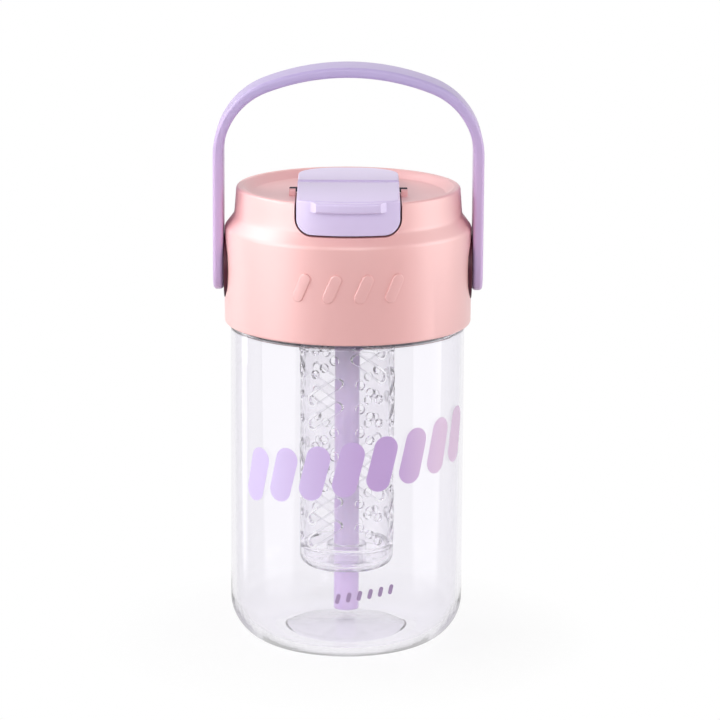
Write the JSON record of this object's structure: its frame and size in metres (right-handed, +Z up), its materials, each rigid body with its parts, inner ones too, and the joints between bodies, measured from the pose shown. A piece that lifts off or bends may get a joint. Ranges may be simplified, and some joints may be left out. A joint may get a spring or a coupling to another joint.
{
  "type": "infuser water bottle",
  "caption": "Clear water bottle with a screw lid, flip flap over a mouthpiece, swinging carrying handle, straw and a perforated fruit infuser hung from the lid.",
  "frame": {"origin": "centre of the foot ring, on the surface the bottle stands on", "axes": "+Z up along the bottle axis, -Y towards the flap and drinking side, +X to the right seen from the front"},
  "size_m": [0.1094, 0.101, 0.2387],
  "materials": {
    "clear_body": "clear, polished copolyester",
    "clear_infuser": "clear, moulded plastic",
    "lid_pink": "satin moulded plastic",
    "flap_lilac": "satin moulded plastic",
    "handle_lilac": "satin moulded plastic",
    "straw_lilac": "smooth extruded plastic",
    "liner_white": "moulded plastic",
    "silicone": "translucent soft silicone",
    "steel": "drawn steel pin"
  },
  "bodies": {
    "bottle": {"bottle": "clear_body"},
    "mouth_seal": {"lid_gasket": "silicone"},
    "lid": {"lid_shell": "lid_pink", "lid_liner": "liner_white", "hinge_cover": "flap_lilac", "flap_hinge_pin": "steel", "mouthpiece": "silicone", "spout_duct": "liner_white", "spout_oring": "silicone", "vent_valve": "silicone", "straw": "straw_lilac", "infuser_seal": "silicone"},
    "flap": {"flap": "flap_lilac", "flap_seal": "silicone"},
    "handle": {"handle": "handle_lilac"},
    "infuser": {"infuser_tube": "clear_infuser", "infuser_collar": "clear_infuser"},
    "infuser_base": {"infuser_base": "clear_infuser", "straw_grommet": "silicone"}
  },
  "joints": [
    {"name": "lid_lift", "type": "slide", "parent": "bottle", "child": "mouth_seal", "axis": [0, 0, 1], "range_m": [0, 0.17]},
    {"name": "lid_turn", "type": "hinge", "parent": "mouth_seal", "child": "lid", "pos_m": [0, 0, 0.15], "axis": [0, 0, 1], "range_deg": [0, 360]},
    {"name": "flap_open", "type": "hinge", "parent": "lid", "child": "flap", "pos_m": [0, -0.006, 0.1887], "axis": [-1, 0, 0], "range_deg": [0, 118]},
    {"name": "handle_swing", "type": "hinge", "parent": "lid", "child": "handle", "pos_m": [0, 0, 0.1565], "axis": [1, 0, 0], "range_deg": [-132, 132]},
    {"name": "infuser_twist", "type": "hinge", "parent": "lid", "child": "infuser", "pos_m": [0, 0, 0.15], "axis": [0, 0, -1], "range_deg": [0, 270]},
    {"name": "base_twist", "type": "hinge", "parent": "infuser", "child": "infuser_base", "pos_m": [0, 0, 0.04], "axis": [0, 0, -1], "range_deg": [0, 270]}
  ]
}
